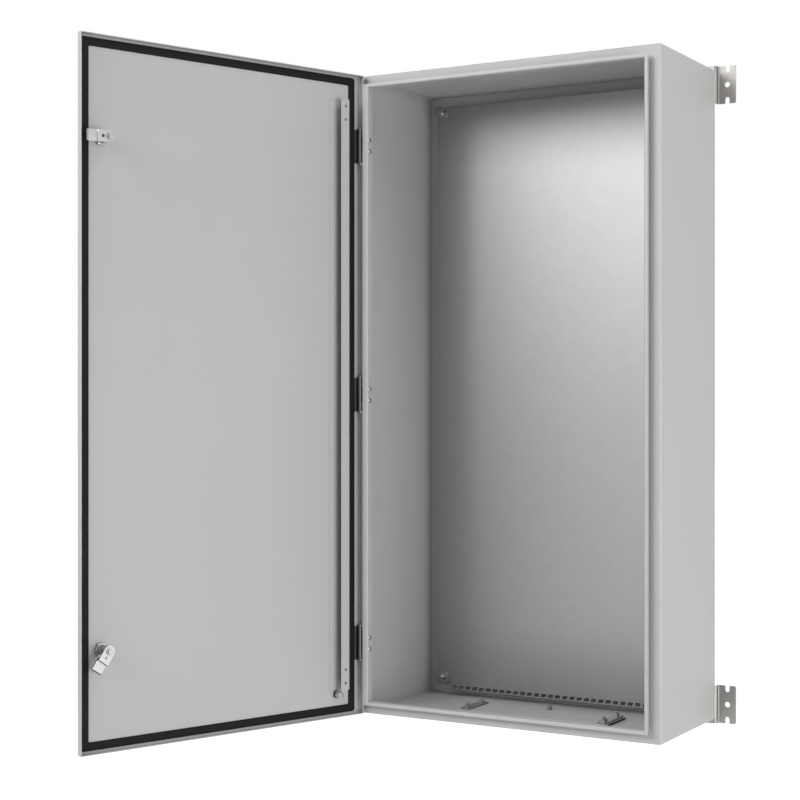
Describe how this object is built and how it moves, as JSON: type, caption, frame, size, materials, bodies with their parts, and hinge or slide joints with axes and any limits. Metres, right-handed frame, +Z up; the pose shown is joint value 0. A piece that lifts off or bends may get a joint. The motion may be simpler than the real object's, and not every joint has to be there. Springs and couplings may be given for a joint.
{
  "type": "wall mount cabinet",
  "caption": "Grey sheet-steel wall cabinet with an open hinged door, foamed seal, quarter-turn cam locks, zinc mounting plate, bolted gland plate and wall brackets.",
  "frame": {"origin": "centre of the four wall holes, on the wall plane", "axes": "+X to the right seen from the front, +Y from the front towards the wall, +Z up"},
  "size_m": [0.8384, 0.8619, 1.216],
  "materials": {
    "grey_paint": "light grey powder coat with a fine texture",
    "galvanised_sheet": "satin galvanised sheet",
    "bracket_zinc": "bright zinc plating",
    "zinc_fastener": "bright zinc plating",
    "die_cast_zinc": "nickel-plated zinc die casting",
    "hinge_steel": "dull zinc plating",
    "black_foam": "matt foamed polyurethane"
  },
  "bodies": {
    "cabinet": {"body_shell": "grey_paint", "rear_panel": "grey_paint", "mounting_plate": "galvanised_sheet", "plate_studs": "zinc_fastener", "plate_washers": "zinc_fastener", "plate_nuts": "zinc_fastener", "bracket_top_left": "bracket_zinc", "bracket_top_right": "bracket_zinc", "bracket_bottom_left": "bracket_zinc", "bracket_bottom_right": "bracket_zinc", "bracket_bolts": "zinc_fastener", "bracket_nuts": "zinc_fastener", "gland_plate": "grey_paint", "gland_seal": "black_foam", "gland_clamp_left": "zinc_fastener", "gland_clamp_right": "zinc_fastener", "gland_studs": "zinc_fastener", "gland_nuts": "zinc_fastener", "gland_earth_stud": "zinc_fastener", "gland_earth_nut": "zinc_fastener", "hinge_leaf_top": "hinge_steel", "hinge_leaf_middle": "hinge_steel", "hinge_leaf_bottom": "hinge_steel", "hinge_pin_top": "zinc_fastener", "hinge_pin_middle": "zinc_fastener", "hinge_pin_bottom": "zinc_fastener", "hinge_screws": "zinc_fastener"},
    "door": {"door_panel": "grey_paint", "door_gasket": "black_foam", "door_stiffener": "grey_paint", "door_hinge_top": "hinge_steel", "door_hinge_middle": "hinge_steel", "door_hinge_bottom": "hinge_steel", "door_earth_stud": "zinc_fastener", "door_earth_nut": "zinc_fastener", "upper_lock_housing": "die_cast_zinc", "upper_lock_nut": "zinc_fastener", "lower_lock_housing": "die_cast_zinc", "lower_lock_nut": "zinc_fastener"},
    "upper_lock": {"upper_lock_core": "die_cast_zinc", "upper_cam": "zinc_fastener", "upper_cam_bolt": "zinc_fastener"},
    "lower_lock": {"lower_lock_core": "die_cast_zinc", "lower_cam": "zinc_fastener", "lower_cam_bolt": "zinc_fastener"}
  },
  "joints": [
    {"name": "door_swing", "type": "hinge", "parent": "cabinet", "child": "door", "pos_m": [-0.2935, -0.30025, 0], "axis": [0, 0, 1], "range_deg": [0, 110]},
    {"name": "upper_lock_turn", "type": "hinge", "parent": "door", "child": "upper_lock", "pos_m": [-0.48714, -0.814, 0.4265], "axis": [0.9397, -0.342, 0], "range_deg": [0, 90]},
    {"name": "lower_lock_turn", "type": "hinge", "parent": "door", "child": "lower_lock", "pos_m": [-0.48714, -0.814, -0.4265], "axis": [0.9397, -0.342, 0], "range_deg": [-55, 35]}
  ]
}
